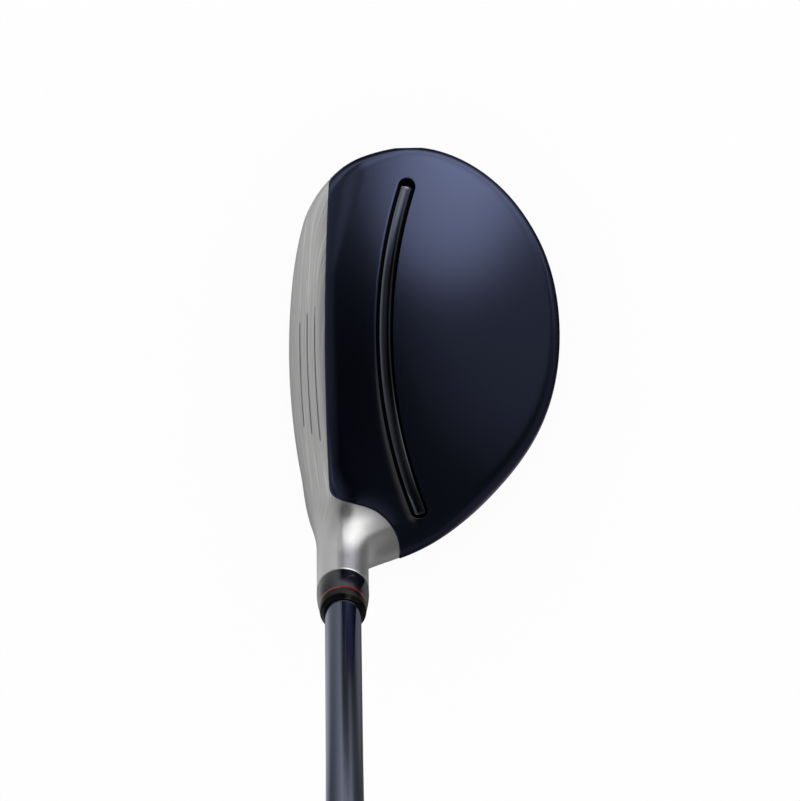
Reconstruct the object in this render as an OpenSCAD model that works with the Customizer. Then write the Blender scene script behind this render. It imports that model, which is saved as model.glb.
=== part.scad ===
// Hybrid golf club, right handed, in its address position on the ground.
// Frame, in millimetres: +Z is up and the ground is z = 0. The face looks
// towards -X, the toe is at +Y and the heel, the hosel and the player are
// at -Y. The origin is the middle of the flat rest patch under the sole.

/* [Club] */
// Length of the club along its shaft line, from the ground to the grip end
club_length = 1022; // [950:1:1080]
// Angle of the shaft line above the ground, in degrees
lie = 59; // [58:0.5:60]
// Angle by which the face leans back, in degrees
loft = 18.5; // [17:0.5:20]
// Angle by which the face is turned in, in degrees
face_closed = 1.2; // [0:0.1:2]

/* [Head outline] */
// Radius of the arc around the toe
toe_arc_r = 65.6; // [64.6:0.2:66.6]
// Distance of the rear edge from the origin
rear_edge = 53.9; // [52.9:0.2:54.9]
// Radius of the long arc from the rear edge to the heel
heel_arc_r = 216.25; // [215.75:0.1:216.75]
// Width over which the three outline curves run into each other
outline_blend = 29.8; // [27.8:0.5:31.8]
// Height at which the head is widest
rim_z = 16; // [15:0.5:17]

/* [Head form] */
// Height of the top of the crown above the ground
crown_top = 35.5; // [34:0.5:37]
// Radius of the crown from front to back
crown_r_depth = 125; // [115:1:140]
// Radius of the crown from heel to toe
crown_r_width = 155; // [145:1:165]
// Radius of the sole from front to back
sole_r_depth = 165; // [155:1:180]
// Radius of the sole from heel to toe
sole_r_width = 150; // [140:1:160]
// How far the sole is cut flat where it rests
rest_flat = 0.15; // [0.1:0.05:0.3]
// Bulge radius of the face, heel to toe
face_bulge = 250; // [220:5:300]
// Roll radius of the face, bottom to top
face_roll = 320; // [250:5:400]

/* [Walls] */
// Wall of the painted crown plate
crown_wall = 0.9; // [0.7:0.1:1.1]
// Wall of the cast body: sole and skirt
body_wall = 1.6; // [1.4:0.1:1.9]
// Thickness of the face plate
face_wall = 2.3; // [2:0.1:2.6]

/* [Crown slot] */
// Radius of the slot's middle line, seen from above
slot_r = 126; // [120:1:132]
// Width of the slot
slot_w = 4.4; // [4:0.1:5]
// Depth of the slot under the crown
slot_depth = 2.6; // [2.2:0.1:3]
// Width of the gloss bead that lies in the slot
bead_w = 3; // [2.6:0.1:3.4]
// How far the bead stands above the crown
bead_proud = 0.25; // [0.1:0.05:0.4]

/* [Face lines] */
// Number of score lines
score_count = 3; // [1:1:3]
// Distance between score lines, up the face
score_pitch = 6; // [5:0.25:6]
// Width of a score line
score_w = 0.85; // [0.7:0.05:1]
// Depth of a score line
score_d = 0.4; // [0.3:0.05:0.5]

/* [Hosel and ferrule] */
// Outer diameter of the hosel
hosel_d = 13.5; // [13.3:0.1:13.7]
// Distance from the ground to the top of the hosel, along the shaft line
hosel_top = 53.9; // [53:0.1:55]
// Depth of the shaft's seat in the hosel
bore_depth = 32; // [28:1:36]
// Thickness of the glue film around the shaft tip
bond_gap = 0.06; // [0.05:0.01:0.1]
// Length of the lower, swelling part of the ferrule
ferrule_skirt_l = 7.7; // [7:0.1:8.5]
// Thickness of the coloured trim ring
trim_l = 0.6; // [0.4:0.1:0.8]
// Length of the ferrule's bevelled end ring
end_ring_l = 3.4; // [3:0.1:4]

/* [Shaft] */
// Diameter of the parallel shaft tip
tip_d = 9.4; // [9.3:0.05:9.5]
// Length of the parallel tip, from the bottom of its seat
tip_parallel = 110; // [95:1:125]
// Diameter of the shaft at its butt
butt_d = 15.2; // [14.8:0.1:15.6]
// Wall of the shaft
shaft_wall = 1.3; // [1.1:0.1:1.5]

/* [Grip] */
// Length of the grip
grip_l = 267; // [250:1:275]
// Outer diameter of the grip's mouth, at its lower end
grip_mouth_d = 18.4; // [18:0.1:19]
// Outer diameter of the grip under its cap
grip_butt_d = 26; // [25:0.5:27]
// Outer diameter of the end cap
cap_d = 29; // [28:0.5:31]
// Diameter of the vent hole in the end cap
vent_d = 3; // [2.5:0.1:4]
// Thickness of the tape layer under the grip
tape_t = 0.25; // [0.2:0.05:0.3]

/* [Sole weight] */
// Diameter of the weight screw's head
weight_d = 12; // [11:0.5:13]
// Diameter of the weight screw's thread
weight_thread_d = 6; // [5:0.5:6]
// Distance of the weight screw behind the origin
weight_x = 27; // [25:1:29]

/* [Hidden] */

// Fine, plain and coarse roundness
$fn = 64;
coarse_fn = 32;

// Shaft line: it lies in the plane x = shaft_x and meets the ground at y = shaft_y
shaft_x = -8.9;
shaft_y = -28;
hosel_r = hosel_d / 2;

// Centres of the outline's toe arc and heel arc, and the way the rear edge faces
toe_arc_c = [20.6, -4.2];
heel_arc_c = [-120.5, 122.15];
rear_turn = 16.2;
// How fast the walls draw in above and below the rim
barrel = 0.012;

// Point under the top of the crown
crown_mid = [-8, -5];

// Leading line of the face, the height where it is measured, and the face's middle above it
face_x = -24;
face_z = 3;
face_mid = 16;
face_zone_in = 6;
score_low = 0;
score_side = 0.8;

// Roundings between the surfaces of the head
crown_round = 3;
sole_round = 10;
heel_round = 20;
heel_reach = 16;
neck_round = 6;
neck_round_top = 14;
topline_round = 3.5;
corner_round = 10.5;
corner_in = 24;
corner_out = 50;
face_top_z = 34;
neck_low = 10;

// Middle of the slot's arc, and the ends of the slot's middle line in degrees
slot_c = [3.35 + slot_r, 8.5];
slot_toe_end = 18.78;
slot_heel_end = -20.55;
slot_floor = 0.6;
slot_z = 18;

// Cut between crown and body: the seam runs under the rim, the collar around the hosel
seam_z = 13.5;
topline_x = -12.4;
topline_mid = -5;
topline_r = 770;
collar_c = [-6.6, -46.4];
collar_r = 12.6;
collar_front_c = [-13.5, -37.6];
collar_front_r = 6;

// Places along the shaft line, measured from the ground
bore_low = hosel_top - bore_depth;
skirt_end = hosel_top + ferrule_skirt_l;
trim_end = skirt_end + trim_l;
ferrule_end = trim_end + end_ring_l;
cap_t = 4.5;
shaft_end = club_length - cap_t;
grip_low = club_length - grip_l;
tube_r = hosel_r - 0.75;
tube_low = bore_low - 9;
plug_l = 4;
pilot_d = 3;
vent_r = vent_d / 2;

// Ring radii of the ferrule
skirt_swell = 0.08;
trim_r = 6.28;
end_ring_r = 6.0;
bevel_l = 1.1;

// Weight port
port_wall = 2;
port_top = 12;
head_recess = 0.8;
weight_head_t = 3.6;
thread_l = 6;
drive_d = 4.4;
drive_depth = 2.2;

// Sections that carry the head's skin: near the toe, along the head, round the heel and up the neck
toe_sections = 7;
head_sections = 16;
heel_sections = 12;
neck_sections = 3;
// Rays of a section over the crown, over the face and under the sole
crown_rays = 15;
face_rays = 9;
sole_rays = 17;
// Steps that find the skin along a ray, and the longest ray
search_steps = 15;
ray_reach = 75;
// The line about which the sections turn at the heel, and the middle of the head
turn_y = -28;
turn_z = 50;
mid_x = 8;
mid_z = 16;
tip_x = 9.5;

// ---- the head's skin -------------------------------------------------

// The larger and the smaller of two distances, with a round transition k wide
function soft_max(a, b, k) = let(h = max(k - abs(a - b), 0) / k) max(a, b) + h * h * k / 4;
function soft_min(a, b, k) = -soft_max(-a, -b, k);

// Distance outside the outline that the head has from above
function outline(x, y) =
    let(toe = norm([x, y] - toe_arc_c) - toe_arc_r,
        rear = x * cos(rear_turn) + y * sin(rear_turn) - rear_edge,
        heel = norm([x, y] - heel_arc_c) - heel_arc_r)
    soft_max(soft_max(toe, rear, outline_blend), heel, outline_blend);

// Distance above the crown, and distance below the sole
function above_crown(x, y, z) =
    let(dx = (x - crown_mid[0]) / crown_r_depth, dy = (y - crown_mid[1]) / crown_r_width)
    (z - crown_top + dx * dx * crown_r_depth / 2 + dy * dy * crown_r_width / 2) / norm([1, dx, dy]);
function below_sole(x, y, z) =
    let(dx = x / sole_r_depth, dy = y / sole_r_width)
    (dx * dx * sole_r_depth / 2 + dy * dy * sole_r_width / 2 - rest_flat - z) / norm([1, dx, dy]);

// Distance in front of the face, which bulges to the sides and rolls up and down
function before_face(x, y, z) =
    let(side = y * cos(face_closed) - x * sin(face_closed),
        back = x * cos(face_closed) + y * sin(face_closed) - face_x,
        up = back * sin(loft) + (z - face_z) * cos(loft) - face_mid)
    (z - face_z) * sin(loft) - back * cos(loft) + side * side / (2 * face_bulge) + up * up / (2 * face_roll);

// Rounding of the face's edge: small at the topline, large low down and at toe and heel
function face_edge(x, y, z) =
    let(side = y * cos(face_closed) - x * sin(face_closed),
        out = (abs(side - 2) - corner_in) / (corner_out - corner_in),
        low = 1 - z / face_top_z)
    topline_round + (corner_round - topline_round) * min(1, max(0, low, out));

// Distance of a point from the shaft line towards the heel, and its place along that line
function heelward(y, z) = (shaft_y - y) * sin(lie) - z * cos(lie);
function along(y, z) = (shaft_y - y) * cos(lie) + z * sin(lie);

// Fillet between hosel and head, which opens out on the side towards the toe and the rear
function neck_fillet(x, h) =
    let(t = min(1, max(0, -h / hosel_r)), behind = min(1, max(0, (x - shaft_x + 5.1) / 5)))
    neck_round + (neck_round_top - neck_round) * t * t * (3 - 2 * t) * behind;

// Distance outside the whole head with its neck; it is negative inside
function skin(x, y, z) =
    let(wall = outline(x, y) + barrel * (z - rim_z) * (z - rim_z),
        rounded = soft_max(wall, above_crown(x, y, z), crown_round),
        soled = soft_max(rounded, below_sole(x, y, z), sole_round),
        heeled = soft_max(soled, heelward(y, z) - heel_reach, heel_round),
        faced = soft_max(heeled, before_face(x, y, z), face_edge(x, y, z)),
        s = along(y, z),
        neck = max(norm([x - shaft_x, heelward(y, z)]) - hosel_r, s - hosel_top, neck_low - s))
    soft_min(faced, neck, neck_fillet(x, heelward(y, z)));

// Length of a ray from c along d to where the skin's distance is level
function ray_end(c, d, level, lo, hi, n) =
    n == 0 ? (lo + hi) / 2 :
    let(m = (lo + hi) / 2, p = c + d * m)
    skin(p[0], p[1], p[2]) > level ? ray_end(c, d, level, lo, m, n - 1) : ray_end(c, d, level, m, hi, n - 1);
function on_ray(c, d, level) = c + d * ray_end(c, d, level, 0, ray_reach, search_steps);

// Where the neck's cross plane through the turning line meets the shaft line
turn_s = along(turn_y, turn_z);
turn_to_shaft = -heelward(turn_y, turn_z);
turn_to_mid = turn_z - mid_z;

// A section is its middle and its tilt about X: upright planes, then a fan, then planes across the neck
function head_section(y, tip_y) =
    let(t = max(0, (y - turn_y) / (tip_y - turn_y))) [[mid_x + (tip_x - mid_x) * t, y, mid_z + t], 0];
function heel_section(t) =
    let(a = lie * t, q = t * t * (3 - 2 * t), h = turn_to_mid + (turn_to_shaft - turn_to_mid) * q)
    [[mid_x + (shaft_x - mid_x) * q, turn_y - h * sin(a), turn_z - h * cos(a)], a];
function neck_section(s) = [[shaft_x, shaft_y - s * cos(lie), s * sin(lie)], lie];
function sections(tip_y, top_s) =
    let(toe_zone = 20)
    concat([for (i = [0 : toe_sections - 1])
                head_section(tip_y - toe_zone * (1 - cos(90 * (i + 0.5) / toe_sections)), tip_y)],
           [for (i = [1 : head_sections])
                let(t = i / head_sections, y0 = tip_y - toe_zone) head_section(y0 + (turn_y - y0) * t, tip_y)],
           [for (i = [1 : heel_sections]) heel_section(i / heel_sections)],
           [for (i = [1 : neck_sections]) neck_section(turn_s + (top_s - turn_s) * i / neck_sections)]);

// Directions of the rays, closer together at the topline, the leading edge and the rear rim
function eased(a, b, n) = [for (i = [0 : n - 1]) a + (b - a) * (0.5 - 0.5 * cos(180 * i / n))];
function rays(y) =
    let(k = pow(min(abs(y), 45) / 45, 2), top = 138 + 15 * k, low = 203 - 14 * k)
    concat(eased(0, top, crown_rays), eased(top, low, face_rays), eased(low, 360, sole_rays));
ray_count = crown_rays + face_rays + sole_rays;

function section_ring(s, level) =
    [for (a = rays(s[0][1])) on_ray(s[0], [cos(a), sin(a) * sin(s[1]), sin(a) * cos(s[1])], level)];

// Closed solid of the head, neck included, with its skin moved out by level
module head_form(level = 0) {
    tip = on_ray([tip_x, 0, mid_z + 1], [0, 1, 0], level);
    top_s = hosel_top + level - 0.001;
    list = sections(tip[1], top_s);
    last = len(list) - 1;
    points = concat([tip], [for (s = list) each section_ring(s, level)], [list[last][0]]);
    function at(i, j) = 1 + i * ray_count + j % ray_count;
    faces = concat(
        [for (j = [0 : ray_count - 1]) [0, at(0, j), at(0, j + 1)]],
        [for (i = [0 : last - 1], j = [0 : ray_count - 1], half = [0, 1])
            half == 0 ? [at(i, j), at(i + 1, j), at(i + 1, j + 1)] : [at(i, j), at(i + 1, j + 1), at(i, j + 1)]],
        [for (j = [0 : ray_count - 1]) [len(points) - 1, at(last, j + 1), at(last, j)]]);
    polyhedron(points, faces, convexity = 6);
}

// Space above the ground, which cuts the rest patch flat
module above_ground() translate([-100, -150, 0]) cube([250, 300, 150]);

// ---- places ----------------------------------------------------------

// Local +Z runs up the shaft line, with its zero on the ground
module on_shaft(s = 0)
    translate([shaft_x, shaft_y, 0]) rotate([90 - lie, 0, 0]) translate([0, 0, s]) children();

// Local +Z looks out of the face, +Y to the toe and +X up the face
module on_face()
    rotate([0, 0, face_closed])
        translate([face_x + face_mid * sin(loft), 0, face_z + face_mid * cos(loft)])
            rotate([0, loft - 90, 0]) children();

// Round bar along the shaft line from one place to another, with its radii there
module bar(s0, s1, r0, r1) on_shaft(s0) cylinder(h = s1 - s0, r1 = r0, r2 = r1);

// Curved band of the crown slot, seen from above, with round ends
function slot_at(a, r) = slot_c + r * [-cos(a), sin(a)];
function slot_end(a, start, w) =
    [for (i = [1 : 7]) slot_at(a, slot_r) + w / 2 * [-cos(start + i * 22.5), sin(start + i * 22.5)]];
module slot_band(w) {
    n = 36;
    turn = (slot_toe_end - slot_heel_end) / n;
    translate([0, 0, slot_z]) linear_extrude(face_top_z) polygon(concat(
        [for (i = [0 : n]) slot_at(slot_heel_end + i * turn, slot_r + w / 2)],
        slot_end(slot_toe_end, slot_toe_end, w),
        [for (i = [0 : n]) slot_at(slot_toe_end - i * turn, slot_r - w / 2)],
        slot_end(slot_heel_end, slot_heel_end + 180, w)));
}

// Everything that belongs to the painted crown: behind the topline, above the seam, outside the collar
module crown_zone() {
    front = [for (y = [-60 : 5 : 70]) [topline_x + pow(y - topline_mid, 2) / (2 * topline_r), y]];
    difference() {
        translate([0, 0, seam_z]) linear_extrude(60) polygon(concat(front, [[80, 70], [80, -60]]));
        translate([0, 0, seam_z - 1]) linear_extrude(62) hull() {
            translate(collar_c) circle(r = collar_r);
            translate(collar_front_c) circle(r = collar_front_r);
            translate([shaft_x, 2 * turn_y - neck_low * 2]) circle(r = hosel_r + 1);
        }
    }
}

// Outline of the welded face plate, pushed a little way through the face
module face_zone()
    on_face() translate([0, 0, -face_zone_in]) linear_extrude(2 * face_zone_in) hull() {
        for (p = [[-9, -22], [9.3, -22], [9.3, 10]]) translate(p) circle(r = 4, $fn = coarse_fn);
        for (p = [[0.5, 36], [-4.5, 33]]) translate(p) circle(r = 5, $fn = coarse_fn);
    }

// Axis of the weight screw
module at_weight() translate([weight_x, 3, 0]) children();
port_low = pow(weight_x, 2) / (2 * sole_r_depth);

// ---- sub-parts -------------------------------------------------------

// Cast steel body: sole, skirt, heel and hosel in one, open at the crown and the face
module head_body() color("silver") difference() {
    resize([0, 0, 0]) difference() {
        intersection() {
            union() {
                difference() {
                    head_form();
                    head_form(-body_wall);
                }
                bar(tube_low, hosel_top - 0.5, tube_r, tube_r);
                at_weight() cylinder(h = port_top, d = weight_d + 2 * port_wall);
            }
            head_form();
            above_ground();
        }
        crown_zone();
        face_zone();
    }
    on_shaft(bore_low) rotate(7) cylinder(h = bore_depth + 1, r = tip_d / 2 + bond_gap);
    on_shaft(bore_low - plug_l) rotate(7) cylinder(h = plug_l + 1, d = pilot_d);
    at_weight() rotate(7) {
        cylinder(h = port_low + head_recess + weight_head_t, d = weight_d + 0.2);
        cylinder(h = port_top + 1, d = weight_thread_d);
    }
}

// Thin steel striking plate, welded into the body, with its score lines
module face_plate() color("silver") resize([0, 0, 0]) difference() {
    intersection() {
        difference() {
            head_form();
            head_form(-face_wall);
        }
        face_zone();
    }
    crown_zone();
    for (i = [0 : score_count - 1]) score_line(score_low + i * score_pitch, 27.6 + 3.8 * i);
}

// Cutter of one score line: a bar bent to the bulge of the face
module score_line(up, length) {
    turn = length / face_bulge * 180 / PI;
    drop = up * up / (2 * face_roll);
    on_face() translate([up, score_side, -face_bulge - drop]) rotate([0, 0, 90]) rotate([90, 0, 0])
        translate([0, 0, -score_w / 2]) linear_extrude(score_w) intersection() {
            difference() {
                circle(r = face_bulge + 1, $fn = 720);
                circle(r = face_bulge - score_d, $fn = 720);
            }
            translate([-length / 2, face_bulge - 5]) square([length, 10]);
        }
}

// Painted crown plate with the trench of the slot formed into it
module crown_plate() color("midnightblue") resize([0, 0, 0]) difference() {
    intersection() {
        head_form();
        crown_zone();
    }
    difference() {
        head_form(-crown_wall);
        slot_band(slot_w + 2 * slot_floor);
    }
    head_form(-slot_depth - slot_floor);
    difference() {
        slot_band(slot_w);
        head_form(-slot_depth);
    }
}

// Gloss polymer bead that lies in the slot
module crown_slot_bead() color("black") resize([0, 0, 0]) difference() {
    intersection() {
        head_form(bead_proud);
        slot_band(bead_w);
    }
    head_form(-slot_depth);
}

// Screw-in weight in the rear of the sole, with a hexagon drive
module weight_screw() color("dimgray") at_weight() difference() {
    union() {
        translate([0, 0, port_low + head_recess]) cylinder(h = weight_head_t, d = weight_d);
        translate([0, 0, port_low + head_recess]) cylinder(h = weight_head_t + thread_l, d = weight_thread_d);
    }
    translate([0, 0, port_low]) cylinder(h = head_recess + drive_depth, d = drive_d, $fn = 6);
}

// Soft plug that closes the pilot hole under the shaft's seat
module bore_plug() color("peru") bar(bore_low - plug_l, bore_low, pilot_d / 2, pilot_d / 2);

// Brass weight in the hollow shaft tip
module tip_weight() color("darkgoldenrod") {
    r = tip_d / 2 - shaft_wall;
    bar(bore_low + 0.5, bore_low + 22, r, r);
    bar(bore_low, bore_low + 0.5, r + 0.8, r + 0.8);
}

// Film of cured epoxy that holds the shaft in the hosel
module hosel_bond() color("khaki") difference() {
    bar(bore_low, hosel_top, tip_d / 2 + bond_gap, tip_d / 2 + bond_gap);
    bar(bore_low - 1, hosel_top + 1, tip_d / 2, tip_d / 2);
}

// Ring with a round wall around the shaft, from profile points of place and radius
module ring(profile, inner = tip_d / 2)
    on_shaft() rotate_extrude() polygon(concat([for (p = profile) [p[1], p[0]]],
        [[inner, profile[len(profile) - 1][0]], [inner, profile[0][0]]]));

// Glossy lower part of the ferrule, which swells a little over the hosel's edge
module ferrule_skirt() color("black") {
    n = 10;
    ring([for (i = [0 : n]) let(t = i / n)
        [hosel_top + t * ferrule_skirt_l, hosel_r + (trim_r - hosel_r) * t * t + skirt_swell * sin(180 * t)]]);
}

// Thin coloured ring of the ferrule
module ferrule_trim_ring() color("red")
    ring([[skirt_end, trim_r], [trim_end, trim_r - 0.05]]);

// End ring of the ferrule with its bevel down to the shaft
module ferrule_end_ring() color("black")
    ring([[trim_end, trim_r - 0.05], [ferrule_end - bevel_l, end_ring_r], [ferrule_end, tip_d / 2 + 0.35]]);

// Radius of the shaft at a place on its line
taper_start = bore_low + tip_parallel;
function shaft_r(s) = tip_d / 2 + (butt_d - tip_d) / 2 * max(0, s - taper_start) / (shaft_end - taper_start);

// Hollow graphite shaft: parallel tip, then one even taper to the butt
module shaft() color("darkslategray") difference() {
    union() {
        bar(bore_low + 0.5, taper_start, tip_d / 2, tip_d / 2);
        bar(taper_start, shaft_end, tip_d / 2, butt_d / 2);
    }
    bar(bore_low, taper_start, tip_d / 2 - shaft_wall, tip_d / 2 - shaft_wall);
    bar(taper_start, shaft_end + 0.01, tip_d / 2 - shaft_wall, butt_d / 2 - shaft_wall);
}

// Double-sided tape between shaft and grip
module grip_tape() color("tan") difference() {
    bar(grip_low + 3, shaft_end, shaft_r(grip_low + 3) + tape_t, shaft_r(shaft_end) + tape_t);
    bar(taper_start, shaft_end + 1, tip_d / 2, shaft_r(shaft_end + 1));
}

// Rubber grip: a mouth bead, a tapered body and a swell under the cap
module grip() color("black") difference() {
    n = 12;
    swell = 18;
    on_shaft() rotate_extrude() polygon(concat(
        [[0, grip_low], [grip_mouth_d / 2 - 0.8, grip_low], [grip_mouth_d / 2, grip_low + 1.5],
         [grip_mouth_d / 2, grip_low + 5], [grip_mouth_d / 2 - 0.6, grip_low + 7]],
        [for (i = [1 : n]) let(t = i / n)
            [grip_mouth_d / 2 - 0.6 + (grip_butt_d - grip_mouth_d) / 2 * pow(t, 1.3) + 0.6 * t,
             grip_low + 7 + (grip_l - 7 - swell) * t]],
        [[cap_d / 2 - 0.6, club_length - 6], [cap_d / 2 - 0.6, shaft_end], [0, shaft_end]]));
    bar(grip_low - 1, grip_low + 3, shaft_r(grip_low - 1) + 0.02, shaft_r(grip_low + 3) + 0.02);
    bar(grip_low + 3, shaft_end + 1, shaft_r(grip_low + 3) + tape_t, shaft_r(shaft_end) + tape_t);
}

// Moulded end cap with its vent hole
module grip_cap() color("black") difference() {
    on_shaft(shaft_end) rotate_extrude() polygon([[0, 0], [cap_d / 2 - 0.6, 0], [cap_d / 2, 0.6], [cap_d / 2, 2.2],
        [cap_d / 2 - 1, cap_t - 0.6], [cap_d / 2 - 3.5, cap_t - 0.1], [cap_d / 2 - 5, cap_t], [0, cap_t]]);
    on_shaft(shaft_end - 1) cylinder(h = cap_t + 2, r = vent_r);
}

head_body();
face_plate();
crown_plate();
crown_slot_bead();
weight_screw();
bore_plug();
tip_weight();
hosel_bond();
ferrule_skirt();
ferrule_trim_ring();
ferrule_end_ring();
shaft();
grip_tape();
grip();
grip_cap();
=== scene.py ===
"""Looks of the hybrid golf club: studio, head, ferrule, shaft and grip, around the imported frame."""

import bmesh
import bpy
import numpy as np
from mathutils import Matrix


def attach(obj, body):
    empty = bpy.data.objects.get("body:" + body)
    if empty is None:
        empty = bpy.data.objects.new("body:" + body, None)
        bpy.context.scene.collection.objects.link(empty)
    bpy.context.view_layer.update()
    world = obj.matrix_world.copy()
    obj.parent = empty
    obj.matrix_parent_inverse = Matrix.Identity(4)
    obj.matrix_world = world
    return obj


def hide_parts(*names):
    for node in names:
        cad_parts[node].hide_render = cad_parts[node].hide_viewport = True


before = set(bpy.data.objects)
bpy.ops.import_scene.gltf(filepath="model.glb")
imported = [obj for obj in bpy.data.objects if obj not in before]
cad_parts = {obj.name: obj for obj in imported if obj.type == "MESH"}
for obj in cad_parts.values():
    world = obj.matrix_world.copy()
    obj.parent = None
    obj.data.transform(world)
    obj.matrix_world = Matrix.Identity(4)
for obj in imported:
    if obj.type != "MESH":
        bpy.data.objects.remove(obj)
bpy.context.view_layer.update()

# ---- Studio ----
# The camera hangs two metres above the head and looks straight down on a wide white
# table, in a room with a dark ceiling, a large soft light beyond the toe and soft fills.


scene = bpy.context.scene


def added(name, data):
    """New object of the scene."""
    thing = bpy.data.objects.new(name, data)
    scene.collection.objects.link(thing)
    return thing


scene.view_settings.view_transform = "Standard"
camera = added("camera", bpy.data.cameras.new("camera"))
camera.data.lens, camera.data.sensor_width = 338.88, 36.0
camera.data.clip_start, camera.data.clip_end = 0.05, 200.0
camera.location = (0.0070077, -0.0069234, 2.0)
camera.rotation_euler = (0.0, 0.0, np.radians(-1.29))
scene.camera = camera


class Wire:
    """The value of one socket. Sums, products and the like add Math nodes."""

    def __init__(self, socket):
        self.socket = socket
        self.tree = socket.id_data

    def math(self, operation, *terms):
        node = self.tree.nodes.new("ShaderNodeMath")
        node.operation = operation
        for socket, term in zip(node.inputs, terms):
            plug(term, socket)
        return Wire(node.outputs[0])

    def __add__(self, other):
        return self.math("ADD", self, other)

    def __sub__(self, other):
        return self.math("SUBTRACT", self, other)

    def __rsub__(self, other):
        return self.math("SUBTRACT", other, self)

    def __mul__(self, other):
        return self.math("MULTIPLY", self, other)

    def __pow__(self, other):
        return self.math("POWER", self, other)

    def __abs__(self):
        return self.math("ABSOLUTE", self)

    __radd__ = __add__
    __rmul__ = __mul__

    def at_least(self, other):
        return self.math("MAXIMUM", self, other)

    def at_most(self, other):
        return self.math("MINIMUM", self, other)

    def ramp(self, low, high):
        """0 below low, 1 above high, smooth in between."""
        node = self.tree.nodes.new("ShaderNodeMapRange")
        node.interpolation_type = "SMOOTHSTEP"
        for socket, term in zip(node.inputs, (self, low, high, 0.0, 1.0)):
            plug(term, socket)
        return Wire(node.outputs[0])

    def fade(self, low, high):
        """1 below low, 0 above high, smooth in between."""
        return 1.0 - self.ramp(low, high)


def plug(term, socket):
    """Feeds a socket with a wire or with a fixed value."""
    if isinstance(term, Wire):
        term.tree.links.new(term.socket, socket)
    else:
        socket.default_value = term


def apart(dx, dy):
    """Length whose two square-on parts are wires."""
    return (dx * dx + dy * dy) ** 0.5


class Finish:
    """Node tree of one surface, or of the room around the club."""

    def __init__(self, owner):
        owner.use_nodes = True
        self.owner = owner
        self.tree = owner.node_tree
        self.tree.nodes.clear()

    def node(self, kind, settings=(), inputs=(), outlet=0):
        node = self.tree.nodes.new("ShaderNode" + kind)
        for key, value in dict(settings).items():
            setattr(node, key, value)
        for key, value in dict(inputs).items():
            plug(value, node.inputs[key])
        return Wire(node.outputs[outlet])

    def place(self):
        """Wires for x, y and z in millimetres."""
        parts = self.node("SeparateXYZ", inputs={0: self.node("TexCoord", outlet="Object")})
        return [Wire(socket) * 1000.0 for socket in parts.socket.node.outputs]

    def grain(self, x, y, z, detail=2.0, rough=0.5):
        """Noise from 0 to 1 at the given coordinates, whose grains are one unit wide."""
        vector = self.node("CombineXYZ", inputs={0: x, 1: y, 2: z})
        return self.node("TexNoise", inputs={"Vector": vector, "Scale": 1.0, "Detail": detail,
                                             "Roughness": rough})

    def speckle(self, fineness, detail=2.0, rough=0.5):
        """Noise from 0 to 1 that is alike in all directions, with so many grains to a millimetre."""
        x, y, z = self.place()
        return self.grain(x * fineness, y * fineness, z * fineness, detail, rough)

    def rays(self):
        """Two wires: 1 for rays off glossy surfaces, and 1 for rays from the camera."""
        path = self.node("LightPath").socket.node.outputs
        straight = Wire(path["Is Camera Ray"]).at_least(Wire(path["Is Transmission Ray"]))
        return Wire(path["Is Glossy Ray"]), straight

    def colour(self, share, low, high):
        """Colour between low and high."""
        return self.node("Mix", {"data_type": "RGBA"}, {0: share, 6: low, 7: high}, outlet=2)

    def bump(self, height, strength, distance):
        return self.node("Bump", inputs={"Height": height, "Strength": strength, "Distance": distance})

    def output(self, kind, shader):
        node = self.tree.nodes.new("ShaderNode" + kind)
        plug(shader, node.inputs["Surface"])
        return self.owner

    def surface(self, inputs):
        """Ends the tree in one principled shader."""
        return self.output("OutputMaterial", self.node("BsdfPrincipled", inputs=inputs))


def rgb(r, g, b):
    return (r, g, b, 1.0)


# Room: white to the eye. Glossy surfaces see walls that darken towards the ceiling and
# on the heel's rear side, with soft lights in front of them.
room = Finish(bpy.data.worlds.new("room"))
scene.world = room.owner
looks = room.node("TexCoord", outlet="Generated")


def lobe(azimuth, elevation, inner, outer):
    """1 within the inner angle of a direction, 0 beyond the outer one; all in degrees."""
    a, e = np.radians(azimuth), np.radians(elevation)
    way = (np.cos(e) * np.cos(a), np.cos(e) * np.sin(a), np.sin(e))
    near = room.node("VectorMath", {"operation": "DOT_PRODUCT"}, {0: looks, 1: way}, outlet="Value")
    return near.ramp(np.cos(np.radians(outer)), np.cos(np.radians(inner)))


height = room.node("SeparateXYZ", inputs={0: looks}, outlet=2)
shine = 0.455 * height.fade(-0.95, 0.936) * (1.0 - 0.55 * lobe(-35, 5, 10, 70))
for strength, azimuth, elevation, inner, outer in [
        (1.61, 65, 7.5, 0, 44),   # main light, low beyond the toe
        (1.50, 56, 45, 0, 20),    # small light above it, for the crown's toe side
        (0.14, 147, 38, 7, 47),   # fill over the face's toe end
        (0.26, 102, 37, 0, 26),   # fill over the toe
        (0.21, 24, 42.5, 13, 38),  # fill over the rear
        (0.03, -50, 55, 0, 35)]:  # trace of light over the heel's rear side
    shine = shine + strength * lobe(azimuth, elevation, inner, outer)
glossy, seen = room.rays()
level = seen + (1.0 - seen) * (glossy * shine + (1.0 - glossy))
room.output("OutputWorld", room.node("Background", inputs={"Color": rgb(1, 1, 1), "Strength": level}))

# Table: white to the eye. Glossy surfaces see it lit along the face side and beyond the
# toe, with a few lit patches, and others that a flag shades.
table = Finish(bpy.data.materials.new("table"))
across, ahead, _ = table.place()


def patch(at_x, at_y, inner, outer):
    """1 within the inner distance of a place on the table, 0 beyond the outer one."""
    return apart(across - at_x, ahead - at_y).fade(inner, outer)


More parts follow.
